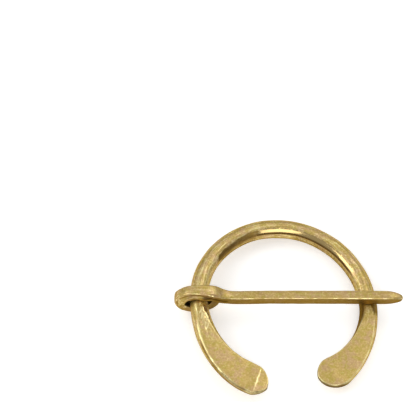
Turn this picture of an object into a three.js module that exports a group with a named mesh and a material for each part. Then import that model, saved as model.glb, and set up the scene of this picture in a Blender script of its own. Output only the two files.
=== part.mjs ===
import * as THREE from 'three';

// Penannular brooch of forged brass wire: an open ring whose two ends are hammered out into
// paddles, and a loose pin whose looped end turns on the ring's wire. Millimetres, +Z up.
// The brooch is worked out flat, with the ring's middle plane at Z = 0 and the pin along X,
// and then laid down as it rests: on the loop's foot and on the ring's far right side.

const { degToRad, lerp, clamp, smoothstep } = THREE.MathUtils;

// Ring. Angles are in degrees about its centre, anticlockwise from +X.
const WIRE_DIAMETER = 4.0;
const RING_RADIUS = 19.0;
const RING_BULGE = 0.68;
const RING_LONG_AXIS = 118;

// Paddles. Distances are from a paddle's own end, along the ring's middle line. The width
// grows as the power spread of the way hammered and the thickness shrinks as the power flatten
// of it. A corner of roundness 2 is a circle's arc, and one of roundness 1 a straight chamfer.
const LEFT_PADDLE = {
  endAngle: 260.2,
  length: 25.8,
  widest: 5.2,
  width: 7.1,
  thickness: 1.6,
  flatten: 1.0,
  spread: 1.25,
  splay: 0.8,
  splayLength: 26.0,
  inner: { corner: 3.4, roundness: 2 },
  outer: { corner: 2.8, roundness: 1.35 },
  bevel: { length: 2.4, drop: 0.7 },
};
const RIGHT_PADDLE = {
  endAngle: -66.9,
  length: 22.0,
  widest: 4.4,
  width: 7.6,
  thickness: 1.5,
  flatten: 0.65,
  spread: 1.7,
  splay: 0.08,
  splayLength: 18.0,
  inner: { corner: 3.5, roundness: 2 },
  outer: { corner: 4.8, roundness: 2 },
  bevel: { length: 3.0, drop: 0.35 },
};
const PADDLE_SIDE_RADIUS = 1.6;

// Pin. The loop goes round the wire, and the shank lies on the ring's other side. The loop's
// angles fall from its free end on the ring's inner side, past the foot under the wire and round
// the outer side to the strap over it.
const PIN_ANGLE = 177.2;
const RUNNING_GAP = 0.3;
const LOOP_ROOM_OUTSIDE = 1.1;
const LOOP_ROOM_INSIDE = 0.8;
const LOOP_SKEW = 0.65;
const LOOP_END_ANGLE = 5;
const LOOP_FOOT_FROM = -75;
const LOOP_STRAP_BEGINS = -100;
const LOOP_STRAP_FROM = -190;
const LOOP_LAST_ANGLE = -270;
const LOOP_END = { width: 2.0, thickness: 1.8 };
const LOOP_FOOT = { width: 2.3, thickness: 2.1 };
const LOOP_STRAP = { width: 2.4, thickness: 2.3 };
const PIN_ROOT = { width: 2.9, thickness: 2.35, fromWire: 0.9, drop: 0.45 };
const PIN_NECK = { width: 2.6, thickness: 2.45, fromWire: 2.7, drop: 1.45 };
const SHANK_START = { width: 2.2, thickness: 2.55, fromWire: 4.7, drop: 2.0 };
const SHANK = { width: 2.2, thickness: 2.6 };
const POINT = {
  width: 0.8,
  thickness: 1.0,
  length: 3.8,
  taper: 1.6,
  pastRing: 7.4,
  side: -0.2,
  dip: 0.4,
};
const PIN_EDGE_RADIUS = 0.4;
const MOST_EDGE_SHARE = 0.4;

// How the brooch rests, and how finely its forms are cut into facets.
const REST_ANGLE = 20;
const RING_STEP = 4;
const PADDLE_STEP = 1.25;
const CORNER_STEP = 12;
const FIRST_CORNER_STEP = 14;
const SIDE_POINTS = 8;
const ROUNDEST_SIDE = degToRad(84);
const LOOP_STEP = 15;
const SHANK_STEP = 2.0;
const SHANK_SPANS = 4;
const POINT_TURNS = [25, 45, 62, 76, 90];
const EDGE_POINTS = 3;

const WIRE_RADIUS = WIRE_DIAMETER / 2;
const RING_MM_PER_DEGREE = RING_RADIUS * degToRad(1);
const UP = new THREE.Vector3(0, 0, 1);

function outwardsAt(angle) {
  return new THREE.Vector3(Math.cos(degToRad(angle)), Math.sin(degToRad(angle)), 0);
}

// Radius of the ring's middle line: a circle that the hand has pulled into a slight oval,
// with its ends splayed.
function ringRadius(angle) {
  const oval = RING_BULGE * Math.cos(2 * degToRad(angle - RING_LONG_AXIS));
  const splay = [LEFT_PADDLE, RIGHT_PADDLE].map((paddle) => {
    const distance = Math.abs(paddle.endAngle - angle) * RING_MM_PER_DEGREE;
    return paddle.splay * (1 - smoothstep(distance, paddle.widest, paddle.splayLength));
  });
  return RING_RADIUS + oval + splay[0] + splay[1];
}

function ringPoint(angle) {
  return outwardsAt(angle).multiplyScalar(ringRadius(angle));
}

// What a corner takes off a paddle's half width, at a distance from the paddle's end.
function cornerLoss({ corner, roundness }, distance) {
  const inside = clamp(1 - distance / corner, 0, 1);
  return corner * (1 - Math.pow(1 - Math.pow(inside, roundness), 1 / roundness));
}

// Section of the bar at a distance from a paddle's end: its reach inwards and outwards from
// the middle line, the heights of its top and underside, and the radius of its round sides.
function barSection(paddle, distance) {
  const hammered = clamp((paddle.length - distance) / (paddle.length - paddle.widest), 0, 1);
  const halfWidth = lerp(WIRE_RADIUS, paddle.width / 2, Math.pow(hammered, paddle.spread));
  const flattened = Math.pow(hammered, paddle.flatten);
  const height = lerp(WIRE_RADIUS * Math.sin(ROUNDEST_SIDE), paddle.thickness / 2, flattened);
  const drop = paddle.bevel.drop * clamp(1 - distance / paddle.bevel.length, 0, 1);
  return {
    inner: halfWidth - cornerLoss(paddle.inner, distance),
    outer: halfWidth - cornerLoss(paddle.outer, distance),
    top: height - drop,
    underside: -height,
    sideRadius: lerp(WIRE_RADIUS, PADDLE_SIDE_RADIUS, hammered * hammered),
  };
}

// Section as points [outwards, up], anticlockwise: flat above and below, with round sides.
function barOutline({ inner, outer, top, underside, sideRadius }) {
  const middle = (top + underside) / 2;
  const reach = Math.asin(Math.min((top - underside) / 2 / sideRadius, 1));
  const side = [];
  for (let i = 0; i < SIDE_POINTS; i += 1) {
    const turn = lerp(-reach, reach, i / (SIDE_POINTS - 1));
    side.push([sideRadius * (1 - Math.cos(turn)), sideRadius * Math.sin(turn)]);
  }
  return [
    ...side.map(([inset, up]) => [outer - inset, middle + up]),
    ...side.map(([inset, up]) => [inset - inner, middle - up]),
  ];
}

// Distances from a paddle's end at which its section is taken: close together round the
// corners, one where the bevel starts, and even from there to the round wire.
function paddleStations(paddle) {
  const corner = Math.max(paddle.inner.corner, paddle.outer.corner);
  const stations = [paddle.bevel.length];
  for (let turn = FIRST_CORNER_STEP; turn < 90; turn += CORNER_STEP) {
    stations.push(corner * (1 - Math.cos(degToRad(turn))));
  }
  const even = Math.ceil((paddle.length - corner) / PADDLE_STEP);
  for (let i = 0; i <= even; i += 1) {
    stations.push(lerp(corner, paddle.length, i / even));
  }
  return stations.sort((a, b) => a - b);
}

// Closed solid with flat ends through a row of loops with equally many points. Each loop is
// convex, and runs anticlockwise as seen when looking back at it from the next one.
function solidThrough(loops) {
  const count = loops[0].length;
  const last = (loops.length - 1) * count;
  const faces = [];
  for (let start = 0; start < last; start += count) {
    for (let j = 0; j < count; j += 1) {
      const here = start + j;
      const next = start + ((j + 1) % count);
      faces.push(here, next, here + count, next, next + count, here + count);
    }
  }
  for (let j = 1; j + 1 < count; j += 1) {
    faces.push(0, j + 1, j, last, last + j, last + j + 1);
  }
  const geometry = new THREE.BufferGeometry().setFromPoints(loops.flat());
  geometry.setIndex(faces);
  geometry.computeVertexNormals();
  return geometry;
}

// Bar from the left paddle's end over the far side to the right paddle's end.
function ringGeometry() {
  const left = paddleStations(LEFT_PADDLE).map((distance) => ({
    angle: LEFT_PADDLE.endAngle - distance / RING_MM_PER_DEGREE,
    section: barSection(LEFT_PADDLE, distance),
  }));
  const right = paddleStations(RIGHT_PADDLE).map((distance) => ({
    angle: RIGHT_PADDLE.endAngle + distance / RING_MM_PER_DEGREE,
    section: barSection(RIGHT_PADDLE, distance),
  })).reverse();
  const from = left.at(-1).angle;
  const to = right[0].angle;
  const steps = Math.ceil((from - to) / RING_STEP);
  const wire = [];
  for (let i = 1; i < steps; i += 1) {
    wire.push({ angle: lerp(from, to, i / steps), section: left.at(-1).section });
  }
  return solidThrough([...left, ...wire, ...right].map(({ angle, section }) => (
    barOutline(section).map(([out, up]) => (
      outwardsAt(angle).multiplyScalar(ringRadius(angle) + out).setZ(up)))
  )));
}

// The loop's middle line is an oval about the wire, and the shank runs from its strap down to
// the neck and up again to the ring's other side. Places are from the wire's centre.
const wireCentre = ringPoint(PIN_ANGLE);
const crossing = ringPoint(180 - PIN_ANGLE).sub(wireCentre).setZ(
  WIRE_RADIUS + RUNNING_GAP + SHANK.thickness / 2,
);
const loopReach = {
  outside: WIRE_RADIUS + LOOP_ROOM_OUTSIDE + LOOP_STRAP.thickness / 2,
  inside: WIRE_RADIUS + LOOP_ROOM_INSIDE + LOOP_END.thickness / 2,
  above: WIRE_RADIUS + RUNNING_GAP + LOOP_STRAP.thickness / 2,
  below: WIRE_RADIUS + RUNNING_GAP + LOOP_FOOT.thickness / 2,
};

// A station of the pin: its place on the middle line and the section's width and thickness.
function pinStation(along, side, height, { width, thickness }) {
  return { place: new THREE.Vector3(along, side, height), size: new THREE.Vector3(width, thickness, 0) };
}

// Station of the loop at an angle.
function loopStation(angle) {
  const { outside, inside, above, below } = loopReach;
  const along = (inside - outside) / 2 + (inside + outside) / 2 * Math.cos(degToRad(angle));
  const height = (above - below) / 2 + (above + below) / 2 * Math.sin(degToRad(angle));
  const toFoot = clamp((LOOP_END_ANGLE - angle) / (LOOP_END_ANGLE - LOOP_FOOT_FROM), 0, 1);
  const toStrap = clamp((LOOP_STRAP_BEGINS - angle) / (LOOP_STRAP_BEGINS - LOOP_STRAP_FROM), 0, 1);
  const width = lerp(lerp(LOOP_END.width, LOOP_FOOT.width, toFoot), LOOP_STRAP.width, toStrap);
  const thickness = lerp(
    lerp(LOOP_END.thickness, LOOP_FOOT.thickness, toFoot), LOOP_STRAP.thickness, toStrap,
  );
  return pinStation(along, LOOP_SKEW * (1 - smoothstep(-angle, 0, 180)), height, { width, thickness });
}

function pinStations() {
  const stations = [];
  for (let angle = LOOP_END_ANGLE; angle > LOOP_LAST_ANGLE; angle -= LOOP_STEP) {
    stations.push(loopStation(angle));
  }
  for (const bend of [PIN_ROOT, PIN_NECK, SHANK_START]) {
    stations.push(pinStation(WIRE_RADIUS + bend.fromWire, 0, loopReach.above - bend.drop, bend));
  }
  const start = stations.at(-1).place;
  const slope = (crossing.z - start.z) / (crossing.x - start.x);
  const tip = crossing.x + POINT.pastRing;
  const pointStart = tip - POINT.length;
  for (let i = 1; i <= SHANK_SPANS; i += 1) {
    const share = i / SHANK_SPANS;
    const along = lerp(start.x, pointStart, share);
    const height = start.z + slope * (along - start.x);
    stations.push(pinStation(along, POINT.side * share * share, height, SHANK));
  }
  const { place: { z: shoulder } } = stations.at(-1);
  for (const turn of POINT_TURNS) {
    const ahead = Math.sin(degToRad(turn));
    const fullness = Math.pow(Math.cos(degToRad(turn)), POINT.taper);
    const along = POINT.length * ahead;
    const height = shoulder + slope * along - POINT.dip * ahead * ahead;
    stations.push(pinStation(pointStart + along, POINT.side, height, {
      width: lerp(POINT.width, SHANK.width, fullness),
      thickness: lerp(POINT.thickness, SHANK.thickness, fullness),
    }));
  }
  return stations;
}

// Rectangle with rounded edges as points [across, up], anticlockwise.
function edgedOutline(width, thickness) {
  const radius = Math.min(PIN_EDGE_RADIUS, MOST_EDGE_SHARE * width, MOST_EDGE_SHARE * thickness);
  const outline = [];
  for (let quarter = 0; quarter < 4; quarter += 1) {
    const acrossSign = quarter === 0 || quarter === 3 ? 1 : -1;
    const upSign = quarter < 2 ? 1 : -1;
    for (let i = 0; i < EDGE_POINTS; i += 1) {
      const turn = (quarter + i / (EDGE_POINTS - 1)) * Math.PI / 2;
      outline.push([
        acrossSign * (width / 2 - radius) + radius * Math.cos(turn),
        upSign * (thickness / 2 - radius) + radius * Math.sin(turn),
      ]);
    }
  }
  return outline;
}

// Bar that follows the pin's middle line, with its width kept level across the line.
function pinGeometry() {
  const stations = pinStations();
  const line = new THREE.CatmullRomCurve3(stations.map(({ place }) => place));
  const sizes = new THREE.CatmullRomCurve3(stations.map(({ size }) => size));
  const spans = stations.length - 1;
  const shares = [0];
  for (let span = 0; span < spans; span += 1) {
    const gap = stations[span].place.distanceTo(stations[span + 1].place);
    const pieces = Math.ceil(gap / SHANK_STEP);
    for (let i = 1; i <= pieces; i += 1) {
      shares.push((span + i / pieces) / spans);
    }
  }
  return solidThrough(shares.map((share) => {
    const centre = line.getPoint(share);
    const along = line.getTangent(share);
    const across = new THREE.Vector3(0, 1, 0).addScaledVector(along, -along.y).normalize();
    const up = along.clone().cross(across);
    const size = sizes.getPoint(share);
    return edgedOutline(size.x, size.y).map(([side, height]) => (
      centre.clone().addScaledVector(across, side).addScaledVector(up, height)));
  }));
}

const brass = { color: 0xb08d4c, metalness: 1.0, roughness: 0.38 };

const ring = new THREE.Mesh(ringGeometry(), new THREE.MeshStandardMaterial(brass));
ring.name = 'ring';

const pin = new THREE.Mesh(pinGeometry(), new THREE.MeshStandardMaterial(brass));
pin.name = 'pin';
pin.position.copy(wireCentre);

// The brooch lies on the loop's foot and on the underside of the wire at the rest angle, so
// the plane through the foot and the wire's direction there is turned level.
const brooch = new THREE.Group();
brooch.add(ring, pin);
const foot = wireCentre.clone().setZ(-loopReach.below - LOOP_FOOT.thickness / 2);
const touch = ringPoint(REST_ANGLE).setZ(-WIRE_RADIUS);
const wireDirection = ringPoint(REST_ANGLE + 1).sub(ringPoint(REST_ANGLE - 1)).normalize();
const restNormal = touch.clone().sub(foot).cross(wireDirection).normalize();
brooch.quaternion.setFromUnitVectors(restNormal, UP);

// The origin is under the middle of the brooch, on the surface that it lies on.
brooch.updateMatrixWorld(true);
const box = new THREE.Box3().setFromObject(brooch, true);
const middle = box.getCenter(new THREE.Vector3());
brooch.position.set(-middle.x, -middle.y, -box.min.z);

export default brooch;
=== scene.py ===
"""Looks of a penannular brooch of forged brass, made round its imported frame.

The brooch is an open ring of round wire whose two ends are hammered out into paddles, and a
pin whose looped end turns on the ring's wire. Sizes are in millimetres and are made metres
where a mesh is written. The forms are worked out flat, with the ring's middle plane at Z = 0
and the pin along X, and then laid down as the frame's brooch rests.
"""
import logging
from dataclasses import dataclass, field
from enum import Enum

import bpy
import bmesh
import numpy as np
from mathutils import Matrix, Vector


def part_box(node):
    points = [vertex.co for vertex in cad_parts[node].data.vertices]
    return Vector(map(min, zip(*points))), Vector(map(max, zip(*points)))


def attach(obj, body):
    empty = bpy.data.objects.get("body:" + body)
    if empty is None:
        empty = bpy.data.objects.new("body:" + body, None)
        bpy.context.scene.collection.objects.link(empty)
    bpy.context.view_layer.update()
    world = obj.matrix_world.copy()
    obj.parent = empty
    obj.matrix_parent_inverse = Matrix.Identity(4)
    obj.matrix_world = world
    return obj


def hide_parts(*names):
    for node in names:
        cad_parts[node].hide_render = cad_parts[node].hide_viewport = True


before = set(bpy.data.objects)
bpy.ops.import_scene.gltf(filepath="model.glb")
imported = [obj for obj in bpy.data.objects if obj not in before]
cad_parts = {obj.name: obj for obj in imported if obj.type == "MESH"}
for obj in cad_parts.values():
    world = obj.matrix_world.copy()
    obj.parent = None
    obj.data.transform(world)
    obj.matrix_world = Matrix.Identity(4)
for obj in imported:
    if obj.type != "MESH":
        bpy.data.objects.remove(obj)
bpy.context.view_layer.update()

MM = 0.001
STRAIGHT = "straight"
PHOTO_WIDTH = 418
PHOTO_HEIGHT = 402

# Splines: parts into which a span is cut to measure it, sections in a rounded end, and the
# least spacing of two knots.
SPAN_PARTS = 200
END_SECTIONS = 10
LEAST_KNOT = 1e-4

# Meshes, in metres: distance of two points that are one, and length of an edge that is none.
DOUBLES = 1e-8
NO_EDGE = 1e-9

# Cross marks inside the far arc: radians for a degree of the ring, and for a degree of turn.
CHATTER_RATE = 3.4
CHATTER_SLANT = 0.02

Array = np.ndarray
Colour = tuple[float, float, float]

log = logging.getLogger("brooch")


class WearAndLight(Enum):
    """Marks of use and making, and painted light and shade, that a mesh carries as numbers from 0 to 1 at
    its vertices.
    """

    POLISH = "polish"
    # Rubbed edges, and painted highlights: edge lines, glints and flecks.
    EDGE = "edge"
    # Brown: the metal's own darker tone in places, and painted shade on sides, fronts and undersides.
    TARNISH_AND_SHADE = "tarnish_and_shade"
    # Painted shade, near black, where light hardly comes.
    PAINTED_SHADE = "painted_shade"
    DRAWN = "drawn"


def smoothstep(value: Array, low: float, high: float) -> Array:
    """Smooth rise from 0 at low to 1 at high: 3x² - 2x³ of the clamped share x.

    Args:
        value: Where the rise is read.
        low: Value at which it starts.
        high: Value at which it ends.

    Returns:
        The rise, from 0 to 1.
    """
    share = np.clip((value - low) / (high - low), 0.0, 1.0)
    return share * share * (3.0 - 2.0 * share)


def lerp(start: Array, end: Array, share: Array) -> Array:
    """Value that goes straight from start to end as share goes from 0 to 1."""
    return start + (end - start) * share


def window(value: Array, low: float, high: float, fade: float) -> Array:
    """Share that is 1 between low and high and fades out to 0 over a width outside them."""
    return smoothstep(value, low - fade, low) * smoothstep(value, high + fade, high)


def bell(value: Array, middle: float, width: float, power: float = 2.0) -> Array:
    """Share that is 1 at middle and falls off as the exponential of -|distance / width|^power."""
    return np.exp(-np.abs((value - middle) / width) ** power)


def strongest(*shares: Array | float) -> Array:
    """Largest of some shares at each point, each of them a grid or a number."""
    return np.maximum.reduce(np.broadcast_arrays(*shares))


def lower_of(first: Array, second: Array, softness: Array) -> Array:
    """Smooth minimum: the lower value less (softness - gap)² / 4 softness, where gap is small.

    Args:
        first: One height.
        second: The other height.
        softness: Gap of the two heights under which the crease between them is rounded.

    Returns:
        The lower height, with a rounded crease.
    """
    rounding = np.clip(softness - np.abs(first - second), 0.0, None)
    return np.minimum(first, second) - rounding * rounding / (4.0 * softness)


def outwards(angle: Array) -> Array:
    """Unit vectors in the ring's plane at these angles in degrees, anticlockwise from +X."""
    turn = np.radians(angle)
    return np.stack([np.cos(turn), np.sin(turn), np.zeros_like(turn)], axis=-1)


def grid_normals(points: Array) -> Array:
    """Unit normals of a grid that is closed round its second axis.

    A normal is the cross product of the difference along the rows and the one round them.

    Args:
        points: Grid of points, rows by points of a row by 3.

    Returns:
        Outward unit normals, of the same form.
    """
    along = np.gradient(points, axis=0)
    around = np.roll(points, -1, axis=1) - np.roll(points, 1, axis=1)
    normals = np.cross(around, along)
    return normals / np.maximum(np.linalg.norm(normals, axis=-1, keepdims=True), 1e-12)


def dents(points: Array, centres: Array, radii: Array, depths: Array) -> Array:
    """Height of a field of soft dents: minus the sum of depth times exp(-(distance / radius)²).

    Args:
        points: Grid of points.
        centres: Middle of each dent.
        radii: Radius of each dent.
        depths: Depth of each dent, and less than 0 for a swelling.

    Returns:
        Height at each point of the grid.
    """
    flat = points.reshape(-1, 1, 3)
    squares = ((flat - centres[None]) ** 2).sum(axis=-1)
    height = -(depths * np.exp(-squares / radii ** 2)).sum(axis=-1)
    return height.reshape(points.shape[:-1])


def ripples(points: Array, length: float, height: float, seed: int, waves: int = 24) -> Array:
    """Height of a field of ripples: the sum of sines of the way along seeded directions.

    Args:
        points: Grid of points.
        length: Usual distance of two crests.
        height: Root mean square of the height.
        seed: Seed of the directions.
        waves: Number of sines.

    Returns:
        Height at each point of the grid.
    """
    rng = np.random.default_rng(seed)
    ways = rng.normal(size=(waves, 3))
    ways *= (2.0 * np.pi / (length * rng.uniform(0.6, 1.6, waves)) / np.linalg.norm(ways, axis=1))[:, None]
    phases = rng.uniform(0.0, 2.0 * np.pi, waves)
    return height * np.sqrt(2.0 / waves) * np.sin(points @ ways.T + phases).sum(axis=-1)


@dataclass(frozen=True)
class HammerMarks:
    """A patch of seeded dents, strewn over the points of a grid that a mask lets through."""

    count: int
    radius: tuple[float, float]
    depth: tuple[float, float]
    seed: int

    def on(self, points: Array, where: Array) -> Array:
        """Height of the patch on a grid.

        Args:
            points: Grid of points.
            where: Grid of truth values that says where a dent may have its middle.

        Returns:
            Height at each point of the grid.
        """
        rng = np.random.default_rng(self.seed)
        allowed = points[where]
        centres = allowed[rng.integers(0, len(allowed), self.count)]
        return dents(points, centres, rng.uniform(*self.radius, self.count),
                     rng.uniform(*self.depth, self.count))


@dataclass(frozen=True)
class Corner:
    """Rounded corner of a paddle: its size, and 2 for a circle's arc or 1 for a chamfer."""

    size: float
    roundness: float

    def inset(self, half_width: Array, across: Array, distance: Array) -> Array:
        """Distance inside the paddle's outline, near this corner.

        With a and b the ways past the corner's centre towards the end and the side, as shares
        of its size, the inset is size times 1 less the root of the sum of their powers.

        Args:
            half_width: Reach of the side from the middle line where no corner cuts it.
            across: Distance from the middle line towards this side.
            distance: Distance from the paddle's end.

        Returns:
            The inset, at least 0.
        """
        to_end = np.clip(1.0 - distance / self.size, 0.0, None)
        to_side = np.clip((across - half_width) / self.size + 1.0, 0.0, None)
        power = self.roundness
        return np.clip(self.size * (1.0 - (to_end ** power + to_side ** power) ** (1 / power)), 0.0, None)

    def loss(self, distance: Array) -> Array:
        """What the corner takes off the side's reach, at a distance from the paddle's end."""
        inside = np.clip(1.0 - distance / self.size, 0.0, 1.0)
        return self.size * (1.0 - (1.0 - inside ** self.roundness) ** (1 / self.roundness))


@dataclass(frozen=True)
class Paddle:
    """Hammered end of the ring. Distances run from its own end along the ring's middle line."""

    end_angle: float
    length: float
    widest: float
    width: float
    thickness: float
    flatten: float
    spread: float
    splay: float
    splay_length: float
    inner: Corner
    outer: Corner
    bevel_length: float
    bevel_drop: float

    def hammered(self, distance: Array) -> Array:
        """How far the wire is hammered out: 0 where it is round, 1 where the paddle is widest."""
        return np.clip((self.length - distance) / (self.length - self.widest), 0.0, 1.0)


@dataclass
class BarSections:
    """Sections of the ring's bar, one value a station, each as a column."""

    angle: Array
    distance: Array
    half_width: Array
    height: Array
    drop: Array
    side_radius: Array
    hammered: Array
    on_left: Array


@dataclass
class Ring:
    """Open ring of round wire, with a paddle at each end.

    The crease values are how softly a paddle's flat meets its sides, on the left paddle's outer
    side and elsewhere, and how soon that grows as the wire is hammered. The crown is how far a
    flat rises from its rim to its middle, over the crown's width.
    """

    wire_diameter: float = 4.0
    radius: float = 19.0
    bulge: float = 0.68
    long_axis: float = 118.0
    side_radius: float = 1.6
    roundest_side: float = 84.0
    left: Paddle = field(default_factory=lambda: Paddle(
        end_angle=260.2, length=25.8, widest=5.2, width=7.1, thickness=1.6, flatten=1.0, spread=1.25,
        splay=0.8, splay_length=26.0, inner=Corner(3.4, 2.0), outer=Corner(2.8, 1.35),
        bevel_length=2.4, bevel_drop=0.7))
    right: Paddle = field(default_factory=lambda: Paddle(
        end_angle=-66.9, length=22.0, widest=4.4, width=7.6, thickness=1.5, flatten=0.65, spread=1.7,
        splay=0.08, splay_length=18.0, inner=Corner(3.5, 2.0), outer=Corner(4.8, 2.0),
        bevel_length=3.0, bevel_drop=0.35))
    step: float = 0.24
    end_steps: int = 26
    end_reach: float = 3.2
    across_steps: int = 52
    crease: float = 0.18
    outer_crease: float = 0.34
    bevel_crease: float = 0.03
    crease_rise: float = 4.0
    least_crease: float = 0.05
    crown: float = 0.05
    crown_width: float = 1.2
    rim_width: float = 0.2

    @property
    def wire_radius(self) -> float:
        """Radius of the round wire."""
        return self.wire_diameter / 2.0

    @property
    def mm_per_degree(self) -> float:
        """Length of one degree of the ring's nominal middle line."""
        return self.radius * np.pi / 180.0

    def middle_radius(self, angle: Array) -> Array:
        """Radius of the middle line: circle plus bulge times cos 2(angle - long axis) plus splays.

        Args:
            angle: Angles in degrees.

        Returns:
            The radius at each angle.
        """
        radius = self.radius + self.bulge * np.cos(2.0 * np.radians(angle - self.long_axis))
        for paddle in (self.left, self.right):
            distance = np.abs(paddle.end_angle - angle) * self.mm_per_degree
            radius = radius + paddle.splay * (1.0 - smoothstep(distance, paddle.widest, paddle.splay_length))
        return radius

    def middle_point(self, angle: float) -> Array:
        """Point of the middle line at an angle in degrees."""
        return outwards(np.array(angle)) * self.middle_radius(np.array(angle))

    def station_angles(self) -> Array:
        """Angles of the stations: close together at both ends, and even between them.

        Near an end the distance is reach times 1 - cos of an evenly rising turn.

        Returns:
            Falling angles in degrees, from the left paddle's end to the right one's.
        """
        turns = np.linspace(0.0, np.pi / 2.0, self.end_steps)
        near_end = self.end_reach * (1.0 - np.cos(turns)) / self.mm_per_degree
        first = self.left.end_angle - near_end
        last = (self.right.end_angle + near_end)[::-1]
        count = int(np.ceil((first[-1] - last[0]) * self.mm_per_degree / self.step))
        middle = np.linspace(first[-1], last[0], count + 1)[1:-1]
        return np.concatenate([first, middle, last])

    def sections(self, angle: Array) -> BarSections:
        """Section of the bar at each angle.

        The half width goes from the wire's radius to half the paddle's width as the power
        spread of the hammering, and the height from the wire's to half the paddle's thickness
        as its power flatten.

        Args:
            angle: Angles of the stations in degrees.

        Returns:
            The sections, with the bevel's drop as a ramp whose foot is slightly rounded.
        """
        to_left = (self.left.end_angle - angle) * self.mm_per_degree
        to_right = (angle - self.right.end_angle) * self.mm_per_degree
        on_left = to_left < to_right
        distance = np.maximum(np.where(on_left, to_left, to_right), 0.0)
        parts = []
        for paddle in (self.left, self.right):
            hammered = paddle.hammered(distance)
            ramp = 1.0 - distance / paddle.bevel_length
            ramp = (ramp + np.sqrt(ramp ** 2 + self.bevel_crease ** 2)) / 2.0
            parts.append({
                "half_width": lerp(self.wire_radius, paddle.width / 2.0, hammered ** paddle.spread),
                "height": lerp(self.wire_radius * np.sin(np.radians(self.roundest_side)),
                               paddle.thickness / 2.0, hammered ** paddle.flatten),
                "drop": paddle.bevel_drop * ramp,
                "side_radius": lerp(self.wire_radius, self.side_radius, hammered ** 2),
                "hammered": hammered,
            })
        chosen = {key: np.where(on_left, parts[0][key], parts[1][key])[:, None] for key in parts[0]}
        return BarSections(angle=angle[:, None], distance=distance[:, None],
                           on_left=on_left[:, None], **chosen)

    def _insets(self, bar: BarSections, across: Array) -> Array:
        """Distance inside the bar's outline, from the nearer of its inner and outer sides."""
        found = []
        for paddle in (self.left, self.right):
            outer = paddle.outer.inset(bar.half_width, across, bar.distance)
            inner = paddle.inner.inset(bar.half_width, -across, bar.distance)
            found.append(np.minimum(outer, inner))
        return np.where(bar.on_left, found[0], found[1])

    def _reaches(self, bar: BarSections) -> tuple[Array, Array]:
        """Reach of the bar's inner and outer sides from the middle line."""
        losses = []
        for side in ("inner", "outer"):
            left = getattr(self.left, side).loss(bar.distance)
            right = getattr(self.right, side).loss(bar.distance)
            losses.append(bar.half_width - np.where(bar.on_left, left, right))
        return losses[0], losses[1]

    def surface(self) -> tuple[Array, dict[str, Array]]:
        """Surface of the bar as a grid of points closed round each section.

        Across the bar the points lie at the sine of an even turn, from the outer side over the
        top to the inner side and back underneath. The height is the lower of the flat's height
        and the side's arc, the root of inset times (2 side radius - inset), with a soft crease.

        Returns:
            The grid of points, and grids of the values that the finish needs.
        """
        bar = self.sections(self.station_angles())
        inner, outer = self._reaches(bar)
        turns = np.linspace(np.pi / 2.0, -np.pi / 2.0, self.across_steps + 1)
        over = np.sin(turns)
        share = np.concatenate([over, over[-2:0:-1]])[None, :]
        upper = np.concatenate([np.ones(len(over)), -np.ones(len(over) - 2)])[None, :]
        across = (outer - inner) / 2.0 + (outer + inner) / 2.0 * share
        inset = self._insets(bar, across)
        inset = np.where(np.abs(share) > 1.0 - 1e-9, 0.0, inset)
        arc = np.sqrt(np.clip(np.minimum(inset, bar.side_radius)
                              * (2.0 * bar.side_radius - np.minimum(inset, bar.side_radius)), 0.0, None))
        flat = bar.height - bar.drop / 2.0
        softness = lerp(self.crease, self.outer_crease, bar.on_left & (across > 0))
        softness = softness * np.clip(bar.hammered * self.crease_rise, self.least_crease, 1.0)
        thick = np.clip(lower_of(arc, flat, softness), 0.0, None)
        edge_inset = bar.side_radius - np.sqrt(np.clip(bar.side_radius ** 2 - flat ** 2, 0.0, None))
        flatness = smoothstep(inset - edge_inset, 0.0, self.crown_width)
        off_rim = smoothstep(inset, 0.0, self.rim_width)
        thick = thick + self.crown * bar.hammered * (flatness - 1.0) * off_rim
        height = upper * thick - bar.drop / 2.0
        points = outwards(np.broadcast_to(bar.angle, across.shape))
        points = points * (self.middle_radius(bar.angle) + across)[..., None]
        points[..., 2] = height
        inward_turn = np.degrees(np.arctan2(-across, height))
        fields = {
            "angle": np.broadcast_to(bar.angle, across.shape), "across": across, "inset": inset,
            "edge_inset": np.broadcast_to(edge_inset, across.shape),
            "hammered": np.broadcast_to(bar.hammered, across.shape),
            "distance": np.broadcast_to(bar.distance, across.shape),
            "on_left": np.broadcast_to(bar.on_left, across.shape),
            "upper": np.broadcast_to(upper, across.shape), "inward_turn": inward_turn,
            "rim": height / np.maximum(flat, 1e-6),
            "straight": np.stack(np.broadcast_arrays(
                (self.left.end_angle - bar.angle) * self.mm_per_degree, across, height), axis=-1),
        }
        return points, fields


@dataclass(frozen=True)
class Bend:
    """Section of the pin at a named place, and on its root also the place from the wire."""

    width: float
    thickness: float
    from_wire: float = 0.0
    drop: float = 0.0


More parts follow.
